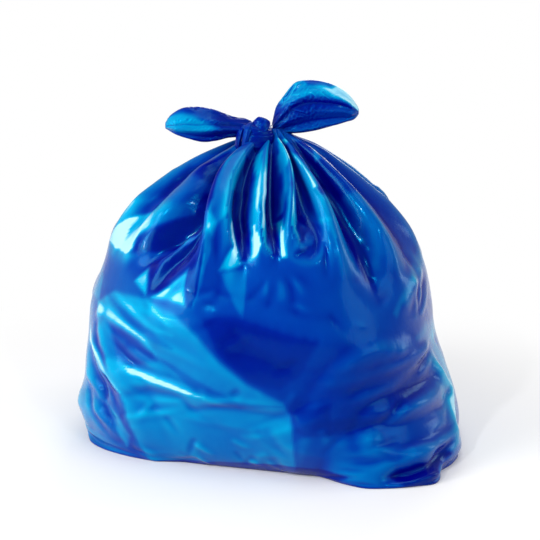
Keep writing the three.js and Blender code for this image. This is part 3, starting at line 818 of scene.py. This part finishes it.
def painted_fold_light(points, blur):
    """Painted light and shade on the film: paler where it faces the painted light's ways, painted pale on its
    crests and deep blue in its hollows, as painted highlights and painted shade.
    """
    smooth = blurred(points, blur)
    around = grid_normal(smooth)
    normal = blurred(grid_normal(points), 1)
    normal /= lengths(normal)[..., None] + 1e-9
    faces = [normal @ (np.array(way) / np.linalg.norm(way)) for way in PAINTED_LIGHT_WAYS]
    turned = [(normal - around) @ (np.array(way) / np.linalg.norm(way)) for way in PAINTED_LIGHT_WAYS]
    tilt = np.where(faces[0] > faces[1], turned[0], turned[1])
    stands = np.einsum("...k,...k->...", points - smooth, normal)
    sharp = np.einsum("...k,...k->...", blurred(points, 1) - blurred(points, 6), normal)
    folds = 0.6 * tilt + 0.035 * np.clip(stands, -6, 6) + 0.17 * np.clip(sharp / 0.4, -1, 1)
    return 0.29 + 0.12 * np.maximum(*faces), folds


def inside(x, y, corners, soft, scale):
    """1 inside an outline on the film, 0 outside, with a soft edge. The scale turns both into millimetres."""
    x, y = x * scale[0], y * scale[1]
    corners = np.array(corners) * scale
    away = np.full(x.shape, np.inf)
    odd = np.zeros(x.shape, bool)
    for (ax, ay), (bx, by) in zip(corners, np.roll(corners, -1, 0)):
        t = np.clip(((x - ax) * (bx - ax) + (y - ay) * (by - ay)) / ((bx - ax) ** 2 + (by - ay) ** 2), 0, 1)
        away = np.minimum(away, np.hypot(x - ax - t * (bx - ax), y - ay - t * (by - ay)))
        crosses = (ay > y) != (by > y)
        odd ^= crosses & (x < ax + (bx - ax) * (y - ay) / (by - ay + 1e-12))
    return smoothstep(np.where(odd, away, -away), -soft, soft)


# The painted light of a set of zones: each adds its amount, paler or deeper, inside its outline
def painted_zones_light(zones, x, y, scale):
    return sum(amount * inside(x, y, outline, soft, scale) for amount, soft, outline in zones)


def back_painted_light():
    """Painted light and shade behind: painted shade in the valleys, painted highlights on the faces beside them
    and at their pocket tips, and panels painted paler and darker in turn where the contents press.
    """
    zones = []
    for i, (height, end, angles) in enumerate(back_gathers()):
        levels = np.linspace(end + 0.6, 11, 5)
        at = list(zip(np.interp(levels, range(6, 13), angles[::-1]), levels))
        if height < 0:
            last = at[0][0]
            zones.append((-0.22, 3, [(a - 1, l) for a, l in at] + [(a + 1, l) for a, l in at[::-1]]))
            zones.append((0.22, 3, [(a - 5, l) for a, l in at] + [(a - 1.5, l) for a, l in at[::-1]]))
            tip = [(last - 3, end - 0.1), (last + 1, end + 0.7), (last + 3, end + 0.1), (last + 1, end - 0.3)]
            zones.append((0.3 + 0.15 * math.sin(2.1 * i), 3, tip))
    for angle, level, fan in PRESSES:
        start = angle - 360
        ends = sorted((a - 360, l) for a, l in fan)
        for i, (one, other) in enumerate(zip(ends, ends[1:])):
            zones.append((-0.06 if i % 2 else 0.1, 18, [(start, level), one, other]))
    return zones


def seen_film():
    """Places all over the film's near side, as angle and level, and their pixels in the photograph."""
    angle, level = np.meshgrid(np.arange(-215, 35, 0.5), np.arange(0, TOP - 0.02, 0.04))
    points = smooth_film(angle, level)
    tilt = math.radians(CAMERA_ELEVATION)
    onward = np.array([0, math.cos(tilt), -math.sin(tilt)])
    up = np.array([0, math.sin(tilt), math.cos(tilt)])
    eye = CAMERA_AIM - onward * CAMERA_DISTANCE
    near = np.einsum("...k,...k->...", smooth_normal(angle, level), eye - points) > 0
    off = points[near] - eye
    scale = PICTURE_SIZE * LENS / SENSOR / (off @ onward)
    pixels = PICTURE_SIZE / 2 + np.stack([off[:, 0] * scale, -(off @ up) * scale], -1)
    return np.stack([angle[near], level[near]], -1), pixels


# Painted highlights and painted shade from the zones in front, at the sides and behind
def body_painted_zones(angle, level):
    turned = np.where(angle > 90, angle - 360, angle)
    places, pixels = seen_film()
    front = []
    for amount, soft, outline in FRONT_PAINTED_LIGHT.values():
        front.append((amount, soft, [places[np.argmin(lengths(pixels - corner))] for corner in outline]))
    painted_shading = painted_zones_light([*front, *SIDE_PAINTED_LIGHT.values()], turned, level, BODY_SCALE)
    return painted_shading + painted_zones_light(back_painted_light(), angle - 360, level, BODY_SCALE)


def bag_body():
    points, angle, level = body_points()
    rim = points[0]
    under = [rim * (k / BASE_ROWS) for k in range(1, BASE_ROWS)]
    under = [ring * np.array([1, 1, 0]) for ring in under]
    whole = np.concatenate([np.array(under), points])
    angle = np.concatenate([angle[:1]] * (BASE_ROWS - 1) + [angle])
    level = np.concatenate([level[:1]] * (BASE_ROWS - 1) + [level])
    made = tube_mesh("bag_film", whole, (0, 0, 0), (NECK_OFFSET, 0, NECK_HEIGHT))
    # Painted light and shade: paler where the film faces the painted light's ways, painted highlights on
    # crests, painted shade in hollows, and the painted zones
    flat, folds = painted_fold_light(whole, 24)
    shown = 0.6 + 0.4 * smoothstep(level, 4.5, 7) - 0.35 * smoothstep(level, 9, 11)
    painted_shading = flat + folds * shown * smoothstep(level, 0.2, 0.8) + body_painted_zones(angle, level)
    # Painted shade along the bottom, where the film turns under onto the floor
    painted_shading -= 0.3 * (1 - smoothstep(level, 0, 0.4))
    film_attributes(made, np.radians(angle), level, 0.2, 0.01, painted_shading)
    return made


def grid_normal(points):
    """Normals of a closed tube's grid, pointing away from its middle line."""
    around = np.roll(points, -1, 1) - np.roll(points, 1, 1)
    onward = np.gradient(points, axis=0)
    normal = np.cross(around, onward)
    normal /= lengths(normal)[..., None] + 1e-9
    outwards = points - points.mean(1, keepdims=True)
    return normal * np.sign(np.einsum("...k,...k->...", normal, outwards).mean())


def ear_grid(ear, rows, columns):
    """The ear without its finer folds: flat loops of film between its two edges, swollen to a crest."""
    place = np.linspace(0, 1, rows + 1)
    turn = 2 * math.pi * np.arange(columns) / columns
    length = ear["length"]
    last = len(ear["upper"]) - 1
    upper, lower = (np.array(ear[edge]) for edge in ("upper", "lower"))
    top, bottom = (
        np.stack([along(edge[:, 0], place * last), 0 * place, along(edge[:, 1], place * last)], -1) * length
        for edge in (upper, lower)
    )
    middle = (top + bottom) / 2 + np.array([NECK_OFFSET, 0, NECK_HEIGHT])
    middle[:, 1] -= along(ear["forward"], place * last) * length
    high = (top - bottom) / 2
    puff = np.minimum(EAR_PUFF * (0.8 + 0.35 * np.sin(math.pi * place)), 0.8 * lengths(high) + 0.5)
    across = np.cos(turn)[None, :]
    tent = 1 - np.abs(across - ear["ridge"]) / (1 + abs(ear["ridge"]))
    pleat = np.abs((9 * across + 4 * place[:, None]) / math.pi % 2 - 1) - 0.5
    swell = 0.6 + 0.55 * tent + 0.42 * pleat * (1 - 0.5 * place[:, None])
    thick = puff[:, None] * swell * np.sin(turn)[None, :]
    points = middle[:, None] + high[:, None] * across[..., None]
    points[..., 1] -= thick
    return points, place[:, None] + 0 * across, turn[None, :] + 0 * place[:, None]


def bag_ear(name, ear, seed):
    """An ear: its film gathers at the knot, fans out in pleats along it, and settles."""
    random = np.random.default_rng(seed)
    rows, columns = EAR_ROWS, EAR_COLUMNS
    rounds = EAR_ROUNDS
    for stage, count in enumerate(rounds):
        if stage:
            rows, columns = rows * 2, columns * 2
            points = finer(points)
        smooth, place, turn = ear_grid(ear, rows, columns)
        normal = grid_normal(smooth)
        if not stage:
            pleats = sum(
                random.uniform(0.5, 1) * np.cos(k * turn + 6.28 * random.random() + 1.5 * place)
                for k in (5, 7, 11, 13)
            )
            pleats = pleats * smoothstep(place, 0.02, 0.2) * (1 - smoothstep(place, 0.6, 0.9))
            points = smooth + normal * (1.1 * pleats)[..., None]
        fan = 1 - smoothstep(place, 0.1, 0.9)
        room = smoothstep(place, 0, 0.12) * (1 - smoothstep(place, 0.75, 0.95))
        film = Film(smooth, normal, 1.03 + 0.3 * fan * room, 1.02, 0.15 + 1.8 * room, floor=False)
        jitter = random.normal(0, 0.05, points.shape[:2]) * room
        points = settle(film, points + normal * jitter[..., None], count, bend=0.04)
    made = tube_mesh(name, points, smooth[0].mean(0), smooth[-1].mean(0))
    # Painted light and shade on the ear: by where it faces, on its pleats' crests and in their hollows, and in
    # its painted zones
    flat, folds = painted_fold_light(points, 8)
    painted_shading = flat + 1.5 * folds + painted_zones_light(ear["zones"], place, np.cos(turn), EAR_SCALE)
    film_attributes(made, turn, place, 0.03, 0.02, painted_shading)
    return made


def knot_band(name, half_width, half_thickness, paler, path, seed):
    """A band of gathered film along a path round the knot's middle, with grooves along it."""
    random = np.random.default_rng(seed)
    path = np.array(path)
    place = np.linspace(0, 1, BAND_ROWS + 1)
    line = np.stack([along(path[:, k], place * (len(path) - 1)) for k in range(3)], -1) * KNOT_SIZE
    onward = np.gradient(line, axis=0)
    onward /= lengths(onward)[:, None]
    out = line - (line @ onward.T).diagonal()[:, None] * onward
    out /= lengths(out)[:, None] + 1e-9
    side = np.cross(onward, out)
    turn = 2 * math.pi * np.arange(BAND_COLUMNS) / BAND_COLUMNS
    full = np.sqrt(np.clip(1 - (2 * place - 1) ** 6, 0, 1)) * (1 + 0.12 * np.sin(5 * place + seed))
    grooves = sum(
        random.uniform(0.4, 1)
        * np.cos(k * turn[None, :] + 6.28 * random.random() + random.uniform(-2, 2) * place[:, None])
        for k in (3, 5, 8, 13)
    )
    radius = full[:, None] * (1 + 0.035 * grooves)
    points = (
        (line + KNOT_MIDDLE)[:, None]
        + side[:, None] * (half_width * radius * np.cos(turn))[..., None]
        + out[:, None] * (half_thickness * radius * np.sin(turn))[..., None]
    )
    made = tube_mesh(name, points, points[0].mean(0), points[-1].mean(0))
    # Painted light and shade from the band's folds, made paler or deeper by the band's own amount
    painted_shading = sum(painted_fold_light(points, 6)) + paler
    film_attributes(made, turn[None, :], place[:, None], 0.02, 0.02, painted_shading)
    return made


def camera():
    """The photograph's view."""
    elevation = math.radians(CAMERA_ELEVATION)
    back = Vector((0, -math.cos(elevation), math.sin(elevation)))
    data = bpy.data.cameras.new("camera")
    data.sensor_width = SENSOR
    data.lens = LENS
    made = bpy.data.objects.new("camera", data)
    made.location = Vector(CAMERA_AIM * MM) + back * CAMERA_DISTANCE * MM
    made.rotation_euler = (-back).to_track_quat("-Z", "Y").to_euler()
    bpy.context.scene.collection.objects.link(made)
    bpy.context.scene.camera = made


def lamp(name, place, width, height, watts, aim=(0, 0, 0.2)):
    data = bpy.data.lights.new(name, "AREA")
    data.shape = "RECTANGLE"
    data.size, data.size_y = width, height
    data.energy = watts
    made = bpy.data.objects.new(name, data)
    made.location = place
    made.rotation_euler = (Vector(aim) - Vector(place)).to_track_quat("-Z", "Y").to_euler()
    made.visible_camera = False
    bpy.context.scene.collection.objects.link(made)


class Nodes:
    """Short calls to make and join shader nodes."""

    def __init__(self, tree):
        self.tree = tree
        self.nodes = tree.nodes

    def add(self, kind, **settings):
        node = self.nodes.new(kind)
        for key, value in settings.items():
            setattr(node, key, value)
        return node

    def link(self, source, target):
        self.tree.links.new(source, target)

    def math(self, operation, a, b=0.0):
        node = self.add("ShaderNodeMath", operation=operation)
        for socket, value in zip(node.inputs, (a, b)):
            self.put(socket, value)
        return node.outputs[0]

    def put(self, socket, value):
        if isinstance(value, bpy.types.NodeSocket):
            self.link(value, socket)
        else:
            socket.default_value = value

    def noise(self, vector, scale, detail, distortion=0.0):
        node = self.add("ShaderNodeTexNoise")
        self.link(vector, node.inputs["Vector"])
        node.inputs["Scale"].default_value = scale
        node.inputs["Detail"].default_value = detail
        node.inputs["Distortion"].default_value = distortion
        return node.outputs["Fac"]

    def seen(self, kind):
        return self.add("ShaderNodeLightPath").outputs[f"Is {kind} Ray"]


def world():
    made = bpy.data.worlds.new("studio")
    made.use_nodes = True
    bpy.context.scene.world = made
    n = Nodes(made.node_tree)
    background = n.nodes["Background"]
    background.inputs["Color"].default_value = (1, 1, 1, 1)
    soft, mirrored = 0.5, 0.45
    plain = n.math("ADD", n.math("MULTIPLY", n.seen("Camera"), 1 - soft), soft)
    strength = n.math("ADD", n.math("MULTIPLY", n.seen("Glossy"), mirrored - soft), plain)
    n.link(strength, background.inputs["Strength"])


def floor():
    """A plain pale floor that keeps the bag's shadow and turns white away from it."""
    size = 12.0
    mesh = bpy.data.meshes.new("floor")
    half = size / 2
    corners = [(-half, -half, 0), (half, -half, 0), (half, half, 0), (-half, half, 0)]
    mesh.from_pydata(corners, [], [(0, 1, 2, 3)])
    made = bpy.data.objects.new("floor", mesh)
    bpy.context.scene.collection.objects.link(made)
    material = bpy.data.materials.new("floor")
    material.use_nodes = True
    n = Nodes(material.node_tree)
    surface = n.nodes["Principled BSDF"]
    surface.inputs["Base Color"].default_value = (0.86, 0.86, 0.86, 1)
    surface.inputs["Roughness"].default_value = 0.6
    surface.inputs["Specular IOR Level"].default_value = 0.1
    white = n.add("ShaderNodeEmission")
    white.inputs["Color"].default_value = (1, 1, 1, 1)
    place = n.add("ShaderNodeNewGeometry")
    away = n.add("ShaderNodeVectorMath", operation="LENGTH")
    n.link(place.outputs["Position"], away.inputs[0])
    far = n.add("ShaderNodeMapRange", interpolation_type="SMOOTHSTEP")
    n.link(away.outputs["Value"], far.inputs["Value"])
    far.inputs["From Min"].default_value = 0.26
    far.inputs["From Max"].default_value = 0.62
    mixed = n.add("ShaderNodeMixShader")
    n.link(n.math("MULTIPLY", far.outputs[0], n.seen("Camera")), mixed.inputs["Fac"])
    n.link(surface.outputs[0], mixed.inputs[1])
    n.link(white.outputs[0], mixed.inputs[2])
    n.link(mixed.outputs[0], n.nodes["Material Output"].inputs["Surface"])
    made.data.materials.append(material)
    return made


def film_material():
    """Thin glossy blue film: its colour follows the painted light and shade along it, and fine streaks and
    ripples break its gloss.
    """
    made = bpy.data.materials.new("film")
    made.use_nodes = True
    n = Nodes(made.node_tree)
    surface = n.nodes["Principled BSDF"]
    surface.inputs["Specular IOR Level"].default_value = 0.35
    surface.inputs["Specular Tint"].default_value = (0.0, 0.6, 1.0, 1)
    surface.inputs["Coat Weight"].default_value = 0.04
    surface.inputs["Coat Roughness"].default_value = 0.06
    surface.inputs["Coat IOR"].default_value = 1.5

    grain = n.add("ShaderNodeAttribute", attribute_name="grain").outputs["Vector"]
    spot = n.add("ShaderNodeTexCoord").outputs["Object"]

    painted_shading = n.add("ShaderNodeAttribute", attribute_name="painted_shading")
    cloud = n.math("MULTIPLY", n.math("SUBTRACT", n.noise(spot, 14.0, 5.0), 0.5), 0.22)
    shade = n.add("ShaderNodeValToRGB")
    n.link(n.math("ADD", painted_shading.outputs["Fac"], cloud), shade.inputs["Fac"])
    for place, colour in SHADE_TO_HIGHLIGHT_RAMP:
        stop = shade.color_ramp.elements.new(place)
        stop.color = (*colour, 1)
    shade.color_ramp.elements.remove(shade.color_ramp.elements[0])
    shade.color_ramp.elements.remove(shade.color_ramp.elements[-1])
    n.link(shade.outputs["Color"], surface.inputs["Base Color"])

    rough = n.add("ShaderNodeMapRange")
    n.link(n.noise(spot, 45.0, 5.0), rough.inputs["Value"])
    rough.inputs["To Min"].default_value = 0.13
    rough.inputs["To Max"].default_value = 0.28
    n.link(rough.outputs[0], surface.inputs["Roughness"])

    streaks = n.math("MULTIPLY", n.noise(grain, 260.0, 3.0), 0.5)
    ripple = n.math("MULTIPLY", n.noise(spot, 120.0, 4.0, distortion=0.6), 0.5)
    height = n.math("ADD", streaks, ripple)
    bump = n.add("ShaderNodeBump")
    bump.inputs["Strength"].default_value = 0.35
    bump.inputs["Distance"].default_value = 0.0009
    n.link(height, bump.inputs["Height"])
    n.link(bump.outputs["Normal"], surface.inputs["Normal"])
    return made


def dress(piece, material):
    piece.data.materials.append(material)
    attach(piece, "root")
    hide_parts("garbage_bag")


camera()
world()
lamp("key", (-1.5, -0.9, 1.15), 0.9, 0.9, 18)
lamp("glint", (-0.7, -1.3, 1.3), 0.1, 0.1, 6)
lamp("glint_right", (0.6, -1.4, 1.2), 0.08, 0.08, 3)
lamp("glint_left", (-1.5, -1.1, 0.45), 0.08, 0.08, 3)
lamp("low_left", (-1.3, -1.0, 0.3), 0.9, 0.5, 6, aim=(-0.1, 0, 0.08))
lamp("right", (1.5, -1.2, 0.8), 0.9, 0.9, 6)
lamp("back", (0.3, 1.5, 0.9), 0.9, 0.9, 9)
lamp("top", (0.15, -0.2, 1.5), 0.5, 0.8, 3.5)
lamp("right_rim", (1.4, 0.25, 0.6), 0.35, 0.9, 3)

film = film_material()
dress(bag_body(), film)
dress(bag_ear("left_ear", LEFT_EAR, SEED + 1), film)
dress(bag_ear("right_ear", RIGHT_EAR, SEED + 2), film)
for count, band in enumerate(BANDS):
    dress(knot_band(*band, SEED + 10 + count), film)

floor()
bpy.context.scene.view_settings.view_transform = "Standard"
